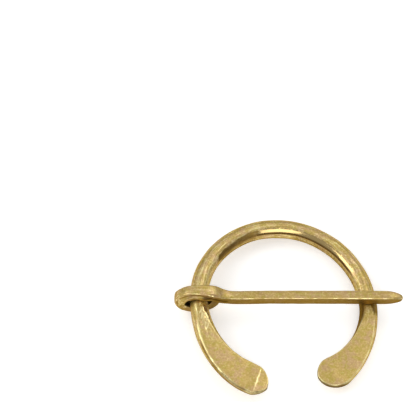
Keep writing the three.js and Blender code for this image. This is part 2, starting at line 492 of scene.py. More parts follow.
@dataclass
class Pin:
    """Forged pin: a loop round the ring's wire, and a shank across to the ring's other side."""

    ring: Ring
    angle: float = 177.2
    running_gap: float = 0.3
    room_outside: float = 1.1
    room_inside: float = 0.8
    skew: float = 0.65
    loop_end_angle: float = 5.0
    foot_from: float = -75.0
    strap_begins: float = -100.0
    strap_from: float = -190.0
    loop_last_angle: float = -270.0
    loop_step: float = 15.0
    loop_end: Bend = Bend(2.0, 1.8)
    foot: Bend = Bend(2.3, 2.1)
    strap: Bend = Bend(2.4, 2.3)
    root: Bend = Bend(2.9, 2.35, 0.9, 0.45)
    neck: Bend = Bend(2.6, 2.45, 2.7, 1.45)
    shank_start: Bend = Bend(2.2, 2.55, 4.7, 2.0)
    shank: Bend = Bend(2.2, 2.6)
    point: Bend = Bend(0.8, 1.0)
    point_length: float = 3.8
    point_taper: float = 1.6
    past_ring: float = 7.4
    point_side: float = -0.2
    point_dip: float = 0.4
    point_turns: tuple[float, ...] = (25.0, 45.0, 62.0, 76.0, 90.0)
    shank_spans: int = 4
    edge_radius: float = 0.4
    most_edge_share: float = 0.4
    step: float = 0.16
    edge_points: int = 9
    face_points: int = 8
    crown: float = 0.04
    nose: float = 0.45
    cut_edge: float = 0.18
    loop_length: float = 17.5

    @property
    def wire_centre(self) -> Array:
        """Centre of the ring's wire inside the loop."""
        return self.ring.middle_point(self.angle)

    @property
    def above(self) -> float:
        """Height of the loop's middle line over the wire's centre."""
        return self.ring.wire_radius + self.running_gap + self.strap.thickness / 2.0

    @property
    def below(self) -> float:
        """Depth of the loop's middle line under the wire's centre."""
        return self.ring.wire_radius + self.running_gap + self.foot.thickness / 2.0

    @property
    def crossing(self) -> Array:
        """Where the shank's middle line passes over the wire on the ring's other side."""
        place = self.ring.middle_point(180.0 - self.angle) - self.wire_centre
        place[2] = self.ring.wire_radius + self.running_gap + self.shank.thickness / 2.0
        return place

    def _loop(self) -> tuple[Array, Array]:
        """Stations of the loop: an oval about the wire, with its free end set to one side.

        Returns:
            Places from the wire's centre, and widths and thicknesses.
        """
        angle = np.arange(self.loop_end_angle, self.loop_last_angle, -self.loop_step)
        outside = self.ring.wire_radius + self.room_outside + self.strap.thickness / 2.0
        inside = self.ring.wire_radius + self.room_inside + self.loop_end.thickness / 2.0
        along = (inside - outside) / 2.0 + (inside + outside) / 2.0 * np.cos(np.radians(angle))
        height = ((self.above - self.below) / 2.0
                  + (self.above + self.below) / 2.0 * np.sin(np.radians(angle)))
        side = self.skew * (1.0 - smoothstep(-angle, 0.0, 180.0))
        to_foot = np.clip((self.loop_end_angle - angle) / (self.loop_end_angle - self.foot_from), 0.0, 1.0)
        to_strap = np.clip((self.strap_begins - angle) / (self.strap_begins - self.strap_from), 0.0, 1.0)
        sizes = [lerp(lerp(getattr(self.loop_end, name), getattr(self.foot, name), to_foot),
                      getattr(self.strap, name), to_strap) for name in ("width", "thickness")]
        return np.stack([along, side, height], axis=-1), np.stack(sizes, axis=-1)

    def stations(self) -> tuple[Array, Array]:
        """Stations of the whole pin, from the loop's free end to the tip.

        The shank rises straight from its start to the crossing and on to the point, which
        narrows as the power taper of its turns' cosine while it goes ahead as their sine.

        Returns:
            Places from the wire's centre, and widths and thicknesses.
        """
        places, sizes = self._loop()
        bends = (self.root, self.neck, self.shank_start)
        roots = [[self.ring.wire_radius + bend.from_wire, 0.0, self.above - bend.drop] for bend in bends]
        start, crossing = np.array(roots[-1]), self.crossing
        slope = (crossing[2] - start[2]) / (crossing[0] - start[0])
        shoulder_at = crossing[0] + self.past_ring - self.point_length
        share = np.arange(1, self.shank_spans + 1) / self.shank_spans
        along = lerp(start[0], shoulder_at, share)
        shank = np.stack([along, self.point_side * share ** 2,
                          start[2] + slope * (along - start[0])], axis=-1)
        turns = np.radians(self.point_turns)
        ahead, fullness = np.sin(turns), np.cos(turns)[:, None] ** self.point_taper
        way = self.point_length * ahead
        point = np.stack([shoulder_at + way, np.full_like(way, self.point_side),
                          shank[-1, 2] + slope * way - self.point_dip * ahead ** 2], axis=-1)
        full = np.array([self.shank.width, self.shank.thickness])
        tip = np.array([self.point.width, self.point.thickness])
        sizes = np.concatenate([sizes, [[bend.width, bend.thickness] for bend in bends],
                                np.tile(full, (self.shank_spans, 1)), lerp(tip, full, fullness)])
        return np.concatenate([places, roots, shank, point]), sizes

    def _outline(self) -> tuple[Array, Array]:
        """Rounded rectangle as corner places and directions from them, anticlockwise.

        A point of it is the place times the half size less the edge radius, plus the edge
        radius times the direction. Each quarter is an arc and then a face.

        Returns:
            Places from -1 to 1 across and up, and unit directions.
        """
        quarter = np.repeat(np.arange(4), self.edge_points + self.face_points)
        step = np.tile(np.arange(self.edge_points + self.face_points), 4)
        turned = np.clip(step / (self.edge_points - 1), 0.0, 1.0)
        passed = np.clip((step - self.edge_points + 1) / (self.face_points + 1), 0.0, 1.0)[:, None]
        turn = (quarter + turned) * np.pi / 2.0
        corners = np.array([[1, 1], [-1, 1], [-1, -1], [1, -1]], float)
        places = lerp(corners[quarter], corners[(quarter + 1) % 4], passed)
        return places, np.stack([np.cos(turn), np.sin(turn)], axis=-1)

    def surface(self) -> tuple[Array, dict[str, Array]]:
        """Surface of the pin as a grid of points closed round each section.

        Sections stand square on a smooth line through the stations, with their width level.
        Both ends close as a quarter ellipse: the section's size is the root of 1 - (1 - d/r)²
        at a distance d under the end radius r.

        Returns:
            The grid of points from the wire's centre, and grids of values for the finish.
        """
        places, sizes = self.stations()
        centre, along, size, length = follow(places, sizes, self.step, (self.cut_edge, self.nose))
        across = np.array([0.0, 1.0, 0.0]) - along * along[:, 1:2]
        across /= np.linalg.norm(across, axis=-1, keepdims=True)
        up = np.cross(along, across)
        corner, way = self._outline()
        radius = np.minimum(self.edge_radius, self.most_edge_share * size.min(axis=-1))[:, None]
        faces = np.stack([corner[:, 1], corner[:, 0]], axis=-1)
        bulge = self.crown * (1.0 - faces ** 2)
        from_end = np.array([length, length[-1] - length])
        closing = np.ones_like(length)
        for distance, reach in zip(from_end, (self.cut_edge, self.nose)):
            closing *= np.sqrt(1.0 - np.clip(1.0 - distance / reach, 0.0, 1.0) ** 2)
        side, height = [
            (corner[:, axis] * (size[:, axis:axis + 1] / 2.0 - radius)
             + way[:, axis] * (radius + bulge[:, axis])) * closing[:, None] for axis in (0, 1)]
        points = (centre[:, None] + across[:, None] * side[..., None] + up[:, None] * height[..., None])
        on_edge = np.broadcast_to(1.0 - np.abs(np.abs(way).max(axis=-1) - np.sqrt(0.5)) / (1 - np.sqrt(0.5)),
                                  side.shape)
        fields = {
            "on_edge": on_edge, "length": np.broadcast_to(length[:, None], side.shape),
            "facing_up": np.broadcast_to(way[:, 1], side.shape),
            "facing_side": np.broadcast_to(way[:, 0], side.shape),
            "fullness": np.broadcast_to(smoothstep(closing, 0.0, 1.0)[:, None], side.shape),
            "rise": height / (size[:, 1:2] / 2.0),
            "straight": np.stack(np.broadcast_arrays(length[:, None], side, height), axis=-1),
        }
        return points, fields


def follow(places: Array, sizes: Array, step: float, ends: tuple[float, float]) -> tuple[Array, ...]:
    """Smooth line through stations, as centripetal splines, with the sizes carried along it.

    Between two stations the line is a cubic whose slopes at them are those of the parabola
    through the neighbours, with knots spaced as the root of the stations' distance.

    Args:
        places: Stations of the line.
        sizes: Sizes at the stations.
        step: Longest distance of two sections.
        ends: Lengths at the start and the end that are cut finely, for their rounding.

    Returns:
        Centres, unit tangents, sizes and the length run through at each section.
    """
    def cubic(rows: Array, span: Array, share: Array) -> tuple[Array, Array]:
        """Point and slope of the spline of some rows, at shares of its spans."""
        padded = np.concatenate([2 * rows[:1] - rows[1:2], rows, 2 * rows[-1:] - rows[-2:-1]])
        p0, p1, p2, p3 = (padded[span + i] for i in range(4))
        k0, k1, k2 = (np.maximum(np.linalg.norm(b - a, axis=-1, keepdims=True) ** 0.5, LEAST_KNOT)
                      for a, b in ((p0, p1), (p1, p2), (p2, p3)))
        k0, k2 = np.where(k0 <= LEAST_KNOT, k1, k0), np.where(k2 <= LEAST_KNOT, k1, k2)
        flat = np.linalg.norm(p2 - p1, axis=-1, keepdims=True) ** 0.5 <= LEAST_KNOT
        k1 = np.where(flat, 1.0, k1)
        m1 = ((p1 - p0) / k0 - (p2 - p0) / (k0 + k1) + (p2 - p1) / k1) * k1
        m2 = ((p2 - p1) / k1 - (p3 - p1) / (k1 + k2) + (p3 - p2) / k2) * k1
        t = share[:, None]
        c2, c3 = -3 * p1 + 3 * p2 - 2 * m1 - m2, 2 * p1 - 2 * p2 + m1 + m2
        return p1 + m1 * t + c2 * t ** 2 + c3 * t ** 3, m1 + 2 * c2 * t + 3 * c3 * t ** 2

    spans = len(places) - 1
    fine = np.linspace(0.0, spans, spans * SPAN_PARTS + 1)
    span = np.minimum(fine.astype(int), spans - 1)
    line, _ = cubic(places, span, fine - span)
    run = np.concatenate([[0.0], np.cumsum(np.linalg.norm(np.diff(line, axis=0), axis=-1))])
    total = run[-1]
    turns = np.linspace(0.0, np.pi / 2.0, END_SECTIONS)
    first = ends[0] * (1.0 - np.cos(turns))
    last = total - (ends[1] * (1.0 - np.cos(turns)))[::-1]
    even = np.linspace(first[-1], last[0], int(np.ceil((last[0] - first[-1]) / step)) + 1)[1:-1]
    length = np.concatenate([first, even, last])
    at = np.interp(length, run, fine)
    span = np.minimum(at.astype(int), spans - 1)
    centre, slope = cubic(places, span, at - span)
    size, _ = cubic(sizes, span, at - span)
    return centre, slope / np.linalg.norm(slope, axis=-1, keepdims=True), size, length


@dataclass(frozen=True)
class Rest:
    """How the flat brooch is laid down: on the loop's foot and the ring's far right side."""

    turn: Array
    shift: Array

    @classmethod
    def of(cls, ring: Ring, pin: Pin, flat_ring: Array, rest_angle: float = 20.0) -> "Rest":
        """Turn of the plane through the foot and the wire's direction, and the frame's shift.

        Args:
            ring: The ring.
            pin: The pin.
            flat_ring: Points of the flat ring.
            rest_angle: Angle at which the ring's underside touches, in degrees.

        Returns:
            The turn as a matrix, and the shift that brings the ring into its box of the frame.
        """
        foot = pin.wire_centre
        foot[2] = -pin.below - pin.foot.thickness / 2.0
        touch = ring.middle_point(rest_angle)
        touch[2] = -ring.wire_radius
        along_wire = ring.middle_point(rest_angle + 1.0) - ring.middle_point(rest_angle - 1.0)
        normal = Vector(np.cross(touch - foot, along_wire))
        turn = np.array(normal.rotation_difference(Vector((0.0, 0.0, 1.0))).to_matrix())
        turned = flat_ring.reshape(-1, 3) @ turn.T
        low, high = (np.array(corner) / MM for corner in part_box("ring"))
        shift = (low + high) / 2.0 - (turned.min(axis=0) + turned.max(axis=0)) / 2.0
        return cls(turn, shift)

    def lay(self, points: Array) -> Array:
        """Points of the flat brooch as it rests, in millimetres of the frame."""
        return points @ self.turn.T + self.shift


def worked(points: Array, relief: Array, ends: Array) -> Array:
    """Grid moved out along its normals by a relief, which fades out to nothing at its ends."""
    return points + grid_normals(points) * (relief * ends)[..., None]


def chatter_waves(angle: Array, turn: Array, shift: Array | float = 0.0) -> Array:
    """Waves of the cross marks inside the far arc, from -1 to 1, slightly aslant.

    Args:
        angle: Angle round the ring in degrees.
        turn: Turn round the wire's section in degrees.
        shift: Radians by which the waves are moved.

    Returns:
        The sine of the marks' phase.
    """
    return np.sin(angle * CHATTER_RATE + CHATTER_SLANT * turn + shift)


def ring_relief(points: Array, fields: dict[str, Array]) -> Array:
    """Relief of the ring: ripples, hammer marks on the left paddle, and cross marks in the arc.

    Args:
        points: Its flat grid.
        fields: Values of its grid.

    Returns:
        Height at each point of the grid.
    """
    top = fields["upper"] > 0
    angle, across, turn = fields["angle"], fields["across"], fields["inward_turn"]
    neck = HammerMarks(count=110, radius=(0.18, 0.42), depth=(0.010, 0.045), seed=11)
    inner_edge = HammerMarks(count=26, radius=(0.25, 0.5), depth=(0.01, 0.035), seed=5)
    relief = (ripples(points, length=2.6, height=0.006, seed=3)
              + ripples(points, length=7.0, height=0.02, seed=4))
    on_neck = top & (angle > 184.0) & (angle < 206.0) & (across > -1.3) & (across < 1.1)
    on_inner_edge = top & (angle > 222.0) & (angle < 238.0) & (across < -1.2)
    relief = relief + neck.on(points, on_neck)
    bent = window(turn, 72.0, 120.0, 6.0) * window(angle, 22.0, 140.0, 4.0)
    relief = relief + 0.010 * chatter_waves(angle, turn) * bent
    return relief + inner_edge.on(points, on_inner_edge)


@dataclass(frozen=True)
class Forging:
    """Heights of the marks that forging and rubbing left on the pin.

    A lump is its height, the length at which it stands, and its width.
    """

    lip: float = 0.34
    groove: float = 0.07
    flattening: float = 0.22
    rub: float = 0.13
    lumps: tuple[tuple[float, float, float], ...] = ((0.12, 17.2, 0.7), (0.26, 20.7, 0.55))
    dents: HammerMarks = HammerMarks(count=110, radius=(0.2, 0.5), depth=(0.01, 0.045), seed=15)


def pin_relief(points: Array, fields: dict[str, Array], forging: Forging) -> Array:
    """Relief of the pin: ripples all over, a lip and lumps on the strap, and a rough loop.

    The lip stands out on the half of the near face that is next to the wire, under a groove.
    The near edge is rubbed down in stretches.

    Args:
        points: Its flat grid.
        fields: Values of its grid.
        forging: Heights of the marks.

    Returns:
        Height at each point of the grid.
    """
    length, rise, facing_up = fields["length"], fields["rise"], fields["facing_up"]
    to_near = -fields["facing_side"]
    near = smoothstep(to_near, 0.3, 0.9)
    strap = window(length, 12.0, 19.2, 2.0)
    uneven = 1.0 + 0.25 * np.sin(1.7 * length) + 0.15 * np.sin(3.9 * length)
    lip = forging.lip * smoothstep(rise, 0.30, -0.10)
    lip = lip - forging.groove * window(rise, 0.38, 0.55, 0.25) * uneven
    flattened = -forging.flattening * window(length, 7.8, 10.4, 1.8) * smoothstep(facing_up, 0.2, 0.9)
    rough = forging.dents.on(points, (length > 8.0) & (length < 15.0))
    relief = (ripples(points, length=2.2, height=0.006, seed=8)
              + ripples(points, length=6.0, height=0.012, seed=9))
    rubbed = strongest(window(length, 16.9, 18.5, 0.6), 0.2 * smoothstep(length, 22.5, 24.0),
                       window(length, 25.2, 27.6, 0.8))
    lumps = sum(height * bell(length, middle, width) for height, middle, width in forging.lumps)
    near_edge = np.clip(fields["on_edge"], 0.0, 1.0) ** 2 * (facing_up > 0) * (to_near > 0)
    near_top = smoothstep(to_near, -0.1, 0.4) * smoothstep(facing_up, 0.1, 0.5)
    relief = relief + lip * near * strap + flattened + rough
    return relief + near_top * lumps - forging.rub * near_edge * rubbed


def closed_mesh(name: str, points: Array, straight: Array, wear: dict[WearAndLight, Array]) -> bpy.types.Object:
    """Object whose mesh is a grid closed round its rows, with its ends drawn together.

    Args:
        name: Name of the piece.
        points: Grid of points in millimetres of the frame.
        straight: Places of the points, in millimetres, in the bar as if it were straightened.
        wear: Marks of wear and of painted light and shade, one grid each.

    Returns:
        The object, at the origin, with its doubles merged and smooth faces.
    """
    rows, count = points.shape[:2]
    index = np.arange(rows * count).reshape(rows, count)
    here, beside = index, np.roll(index, -1, axis=1)
    quads = np.stack([here[:-1], beside[:-1], beside[1:], here[1:]], axis=-1).reshape(-1, 4)
    mesh = bpy.data.meshes.new(name)
    mesh.from_pydata((points.reshape(-1, 3) * MM).tolist(), [], quads.tolist())
    for mark, values in wear.items():
        layer = mesh.attributes.new(mark.value, "FLOAT", "POINT")
        layer.data.foreach_set("value", np.ascontiguousarray(values, np.float32).ravel())
    layer = mesh.attributes.new(STRAIGHT, "FLOAT_VECTOR", "POINT")
    layer.data.foreach_set("vector", np.ascontiguousarray(straight, np.float32).ravel())
    soft = bmesh.new()
    soft.from_mesh(mesh)
    bmesh.ops.remove_doubles(soft, verts=soft.verts, dist=DOUBLES)
    bmesh.ops.dissolve_degenerate(soft, edges=soft.edges, dist=NO_EDGE)
    soft.to_mesh(mesh)
    soft.free()
    mesh.shade_smooth()
    mesh.update()
    made = bpy.data.objects.new(name, mesh)
    bpy.context.scene.collection.objects.link(made)
    return made


class Signal:
    """An output socket of a shader on which sums can be written."""

    def __init__(self, shader: "Shader", socket: bpy.types.NodeSocket) -> None:
        """Keeps the shader and the socket."""
        self.shader = shader
        self.socket = socket

    def _math(self, operation: str, *values: "Signal | float") -> "Signal":
        """Adds a Math node for an operation on some values."""
        return self.shader.node("ShaderNodeMath", {"operation": operation}, dict(enumerate(values)))

    def __add__(self, other: "Signal | float") -> "Signal":
        """Sum."""
        return self._math("ADD", self, other)

    def __radd__(self, other: float) -> "Signal":
        """Sum with a number before."""
        return self._math("ADD", other, self)

    def __sub__(self, other: "Signal | float") -> "Signal":
        """Difference."""
        return self._math("SUBTRACT", self, other)

    def __rsub__(self, other: float) -> "Signal":
        """Difference from a number."""
        return self._math("SUBTRACT", other, self)

    def __mul__(self, other: "Signal | float") -> "Signal":
        """Product."""
        return self._math("MULTIPLY", self, other)

    def __rmul__(self, other: float) -> "Signal":
        """Product with a number before."""
        return self._math("MULTIPLY", other, self)

    def rise(self, low: float, high: float) -> "Signal":
        """Smooth rise from 0 to 1 between two values."""
        settings = {"interpolation_type": "SMOOTHSTEP"}
        return self.shader.node("ShaderNodeMapRange", settings, {0: self, 1: low, 2: high, 3: 0.0, 4: 1.0})


class Shader:
    """Node tree of one material, on which nodes are made by one method."""

    def __init__(self, name: str) -> None:
        """Starts an empty tree with an output."""
        self.material = bpy.data.materials.new(name)
        self.material.use_nodes = True
        self.tree = self.material.node_tree
        self.tree.nodes.clear()

    def node(self, kind: str, settings: dict[str, object], sockets: dict[int | str, object],
             output: int | str = 0) -> Signal:
        """Makes a node.

        Args:
            kind: The node's type.
            settings: Its properties, set first.
            sockets: Values or signals of its input sockets, by index or name.
            output: Index or name of the output socket that is wanted.

        Returns:
            That output.
        """
        made = self.tree.nodes.new(kind)
        for name, value in settings.items():
            setattr(made, name, value)
        for key, value in sockets.items():
            if isinstance(value, Signal):
                self.tree.links.new(value.socket, made.inputs[key])
            else:
                made.inputs[key].default_value = value
        return Signal(self, made.outputs[output]) if len(made.outputs) else Signal(self, None)

    def noise(self, place: Signal, size: float, detail: float = 2.0, roughness: float = 0.5) -> Signal:
        """Noise from 0 to 1, whose spots are about size across in the units of place."""
        sockets = {"Vector": place, "Scale": 1.0 / size, "Detail": detail, "Roughness": roughness}
        return self.node("ShaderNodeTexNoise", {"noise_dimensions": "3D"}, sockets, "Fac")

    def blend(self, share: Signal | float, under: Signal | Colour, over: Signal | Colour) -> Signal:
        """Colour that goes from under to over as share goes from 0 to 1."""
        colours = [value if isinstance(value, Signal) else (*value, 1.0) for value in (under, over)]
        settings = {"data_type": "RGBA", "clamp_factor": True}
        return self.node("ShaderNodeMix", settings, {0: share, 6: colours[0], 7: colours[1]}, 2)

    def wear(self, mark: WearAndLight) -> Signal:
        """One of the mesh's marks, of wear and of painted light and shade."""
        return self.node("ShaderNodeAttribute", {"attribute_name": mark.value}, {}, "Fac")

    def straightened(self, stretch: float) -> Signal:
        """Place in the straightened bar, with its length drawn together so that noise is streaky."""
        place = self.node("ShaderNodeAttribute", {"attribute_name": STRAIGHT}, {}, "Vector")
        settings = {"operation": "MULTIPLY"}
        return self.node("ShaderNodeVectorMath", settings, {0: place, 1: (1.0 / stretch, 1.0, 1.0)})


@dataclass(frozen=True)
class Brass:
    """Tumbled brass: satin where it was tumbled, bright where it rubs and where highlights are painted,
    brown in darker places of its own and where shade is painted, and near black where deeper shade is
    painted.
    """

    name: str
    satin: Colour = (0.60, 0.425, 0.145)
    rose: Colour = (0.59, 0.39, 0.205)
    olive: Colour = (0.52, 0.405, 0.095)
    # Bright is rubbed metal and also the colour of painted highlights.
    bright: Colour = (1.00, 0.88, 0.45)
    polished: Colour = (0.66, 0.475, 0.20)
    # Brown is the metal's darker tone and painted shade; black is deeper painted shade.
    brown: Colour = (0.26, 0.145, 0.03)
    black: Colour = (0.03, 0.015, 0.004)
    grazing: Colour = (0.46, 0.38, 0.23)
    satin_roughness: float = 0.44
    polished_roughness: float = 0.17
    edge_roughness: float = 0.24
    blotch_size: float = 0.0030
    mottle_size: float = 0.0011
    grain_size: float = 0.00040
    streak_size: float = 0.34
    streak_stretch: float = 9.0
    grain_height: float = 0.014
    streak_height: float = 0.016

    def make(self) -> bpy.types.Material:
        """Material of this finish, on Object coordinates and the mesh's marks of wear and of painted light
        and shade.
        """
        shader = Shader(self.name)
        place = shader.node("ShaderNodeTexCoord", {}, {}, "Object")
        blotch = shader.noise(place, self.blotch_size, 2.0)
        mottle = shader.noise(place, self.mottle_size, 3.0, 0.6)
        grain = shader.noise(place, self.grain_size, 2.0, 0.6)
        streak = shader.noise(shader.straightened(self.streak_stretch), self.streak_size, 2.0, 0.6)
        polish, edge, tarnish_and_shade, painted_shade, drawn = (shader.wear(mark) for mark in WearAndLight)
        satin = shader.blend(blotch.rise(0.42, 0.60) * 0.8, self.satin, self.rose)
        satin = shader.blend(mottle.rise(0.45, 0.62) * 0.75, satin, self.olive)
        satin = shader.blend(drawn * streak.rise(0.52, 0.70) * 0.55, satin, self.bright)
        satin = shader.blend(grain.rise(0.50, 0.72) * (0.28 + 0.22 * drawn), satin, self.bright)
        satin = shader.blend(grain.rise(0.48, 0.30) * 0.22, satin, self.brown)
        satin = shader.blend(drawn * streak.rise(0.47, 0.32) * 0.42, satin, self.brown)
        base = shader.blend(polish, satin, self.polished)
        # Brown over the metal's darker places, and painted shade on sides, fronts and undersides.
        base = shader.blend(tarnish_and_shade * (0.7 + 0.3 * mottle), base, self.brown)
        # Painted highlights: bright colour on edge lines, glints and flecks.
        base = shader.blend(edge * (mottle.rise(0.30, 0.55) * 0.6 + 0.4), base, self.bright)
        # Painted shade: near black where light hardly comes.
        base = shader.blend(painted_shade, base, self.black)
        rough = self.satin_roughness + 0.14 * (mottle - 0.5) - 0.12 * (drawn * streak.rise(0.5, 0.7))
        rough = rough + polish * (self.polished_roughness - rough)
        rough = rough + edge * (self.edge_roughness - rough)
        height = grain * self.grain_height + streak * drawn * self.streak_height
        height = height * (1.0 - 0.85 * polish)
        normal = shader.node("ShaderNodeBump", {}, {"Strength": 1.0, "Distance": MM, "Height": height})
        surface = shader.node("ShaderNodeBsdfPrincipled", {}, {
            "Base Color": base, "Metallic": 1.0, "Roughness": rough, "Normal": normal,
            "Specular Tint": (*self.grazing, 1.0)})
        shader.node("ShaderNodeOutputMaterial", {}, {"Surface": surface})
        return shader.material


class RingWear:
    """Marks of wear of the ring, and its painted highlights and shade, as products of windows of the angle
    and of the section's turn.

    The angle is 90 at the middle of the far arc, 177 in the pin's loop, 260 at the left paddle's
    end and -67 at the right one's. The turn is 0 at the top of the wire's section, 90 on the side
    next to the ring's centre and -90 on the outer side.
    """

    def __init__(self, ring: Ring, points: Array, fields: dict[str, Array]) -> None:
        """Keeps the grid's values, and the gap from a flat's rim, which is below 0 on the side."""
        self.bevel_length = ring.left.bevel_length
        self.angle, self.turn, self.across = fields["angle"], fields["inward_turn"], fields["across"]
        self.distance, self.straight = fields["distance"], fields["straight"]
        self.rim, self.on_left = fields["rim"], fields["on_left"]
        self.top, self.outer = fields["upper"] > 0, fields["across"] > 0
        self.gap = fields["inset"] - fields["edge_inset"]
        self.strength = smoothstep(fields["hammered"], 0.05, 0.4)
        self.side = smoothstep(-self.gap, -0.02, 0.06) * self.strength
        self.ragged = ripples(points, length=1.3, height=3.0, seed=21)
        patchy = ripples(points, length=2.4, height=1.0, seed=31)
        self.broken = 0.55 + 0.45 * smoothstep(patchy, -0.6, 0.5)

    def wander(self) -> Array:
        """Degrees of turn by which the line of the far arc's polish wanders."""
        return 1.5 * np.sin(self.angle * 0.9) + 1.5 * np.sin(self.angle * 2.3 + 1.0)

    def past_line(self) -> Array:
        """Degrees of turn past the wandering line at which the far arc's polish begins."""
        line = 22.0 + 12.0 * smoothstep(self.angle, 105.0, 130.0)
        return self.turn - line - self.wander()

    def patch(self) -> Array:
        """Dark patch of the upper left, which the polish leaves out and whose line is ragged."""
        patch = smoothstep(self.past_line() + self.wander() - 0.7 * self.ragged, 0.5, 2.0)
        return (patch * window(self.angle + 0.5 * self.ragged, 110.0, 142.0, 1.0)
                * smoothstep(self.turn, 80.0, 70.0))

    def neck(self) -> Array:
        """Hammer marks of the left neck, which are rubbed bright."""
        along = window(self.angle + self.ragged, 185.0, 202.0, 3.0)
        return along * window(self.across + 0.06 * self.ragged, -1.05, 0.1, 0.25) * self.top

    def polish(self) -> Array:
        """Inner side of the far arc, and the left neck."""
        arc = smoothstep(self.past_line(), -1.5, 2.0) * smoothstep(self.turn, 70.0, 60.0)
        arc = arc * window(self.angle, 30.0, 138.0, 3.0)
        return strongest(arc * (1.0 - self.patch()), 0.85 * self.neck())

    def edge(self) -> Array:
        """Painted highlights: lines on the paddles' rims, which are also rubbed, the left bevel's line,
        glints on the wire by the loop and below it, and flecks on the neck.
        """
        stretch = strongest(window(self.angle, 196.0, 240.0, 8.0), window(self.angle, 250.0, 258.0, 3.0))
        outer_left = bell(self.gap, 0.0, 0.22, 4.0) * (0.12 + 0.88 * stretch)
        rims = np.where(self.outer & self.on_left, outer_left, 0.8 * bell(self.gap, 0.0, 0.13))
        rims = rims * self.strength * self.broken * self.top
        bevel_width = 0.06 + 0.11 * window(self.across, -1.0, 0.8, 1.0)
        waver = 0.06 * np.sin(4.0 * self.across)
        bevel = bell(self.distance + waver, self.bevel_length, bevel_width, 4.0)
        bevel = bevel * self.on_left * self.top * smoothstep(self.gap, 0.2, 0.6)
        # Painted glint streaks on the wire above the loop, and one below it.
        glint = sum(share * bell(self.turn - 4.0 * np.sin(self.angle * 0.35 + middle), middle, width)
                    for middle, width, share in ((-16.0, 5.0, 1.0), (13.0, 3.0, 0.8), (33.0, 3.5, 0.8)))
        glint = glint * window(self.angle + self.ragged, 153.0, 178.0, 5.0)
        below = bell(self.turn, -27.0, 5.0) * window(self.angle, 181.0, 194.0, 3.0)
        return strongest(rims, 0.85 * bevel, 0.8 * strongest(glint, below) * self.broken, self.flecks())

    def painted_dark_reflection(self) -> Array:
        """Painted dark reflection: a line under the far arc's polish."""
        return window(self.turn, 51.0, 62.0, 4.0) * window(self.angle, 34.0, 138.0, 12.0)

    def right_neck(self) -> Array:
        """Painted shade on the inner side of the right neck below the pin, which tapers down into the
        paddle's side, and by the pin on its outer side.
        """
        over_rim = 0.40 * smoothstep(self.angle, -20.0, -4.0)
        inner = smoothstep(over_rim - self.gap, -0.05, 0.12) * window(self.angle, -22.0, 3.0, 13.0)
        inner = inner * smoothstep(self.turn, 24.0, 40.0) * ~self.outer
        outer = smoothstep(0.1 - self.gap, -0.05, 0.12) * window(self.angle, -4.0, 3.0, 4.0)
        return strongest(inner, 0.8 * outer * self.outer) * ~self.on_left

    def ends(self) -> Array:
        """Sides of the paddles' ends, where shade is painted."""
        right = ~self.on_left * smoothstep(self.distance, 6.0, 3.5)
        left = self.on_left * smoothstep(self.distance, 3.0, 1.4)
        return self.side * strongest(right, left)

    def flecks(self) -> Array:
        """Long painted glints on the left neck, which thin out down the paddle."""
        grit = ripples(self.straight * (0.4, 1.0, 1.0), length=0.42, height=1.0, seed=41)
        fleck = smoothstep(grit, -0.6, 0.8)
        trail = window(self.angle + self.ragged, 200.0, 212.0, 5.0) * window(self.across, -0.9, 0.0, 0.5)
        return fleck * strongest(0.8 * self.neck(), 0.32 * trail * self.top)

    def hatch(self) -> Array:
        """Two stretches inside the arc that the bending left marked crosswise."""
        right = window(self.turn, 70.0, 120.0, 5.0) * window(self.angle, 22.0, 80.0, 5.0)
        left = window(self.turn, 76.0, 120.0, 5.0) * window(self.angle, 112.0, 140.0, 3.0)
        return strongest(right, left)

    def chatter(self) -> Array:
        """The cross marks of these stretches."""
        waves = chatter_waves(self.angle, self.turn, 0.5 * self.ragged)
        return smoothstep(waves, 0.2, 0.9) * self.hatch()

    def outer_left_side(self) -> Array:
        """Side face of the left paddle that looks away from the ring's centre."""
        return self.side * self.on_left * self.outer

    def tarnish_and_shade(self) -> Array:
        """Brown: the dark patch, a line on the left neck and the cross marks inside the arc; painted shade
        on the paddles' sides and ends, the left paddle's outer rim, the right neck and the wire's underside
        and outer side; and a painted dark reflection under the far arc's polish.
        """
        outer_left = self.outer_left_side()
        # Painted shade: a line and the lower stretch of the left paddle's outer side.
        line = outer_left * window(self.rim, 0.50, 0.94, 0.12) * window(self.angle, 214.0, 256.0, 8.0)
        lower = outer_left * smoothstep(self.angle, 214.0, 236.0)
        seam = bell(self.across, 0.32, 0.10) * window(self.angle, 184.0, 194.0, 3.0) * self.top
        # Painted shade on the wire's underside and outer side.
        under = smoothstep(self.turn, 100.0, 114.0)
        outside = smoothstep(-self.turn, 78.0, 92.0) * window(self.angle, -5.0, 150.0, 10.0)
        # Painted shade on the left paddle's outer rim near its end.
        lip = 0.8 * window(self.gap, -0.4, 0.1, 0.1) * self.outer * self.on_left * self.top
        lip = lip * window(self.angle, 243.0, 255.0, 5.0)
        return strongest(0.9 * self.patch(), 0.95 * self.painted_dark_reflection(), line, lip, self.right_neck(),
                         self.ends(), 0.75 * lower, 0.6 * seam, 0.45 * self.hatch(),
                         0.85 * self.chatter(), 0.6 * under, 0.25 * outside)

    def painted_shade(self) -> Array:
        """Painted shade, near black, where light hardly comes: a painted shadow under the shank, inside the
        loop, on the dark patch, the right neck, the band under the far arc's polish and the cross marks,
        under the paddles' end rims and on the left paddle's outer side.
        """
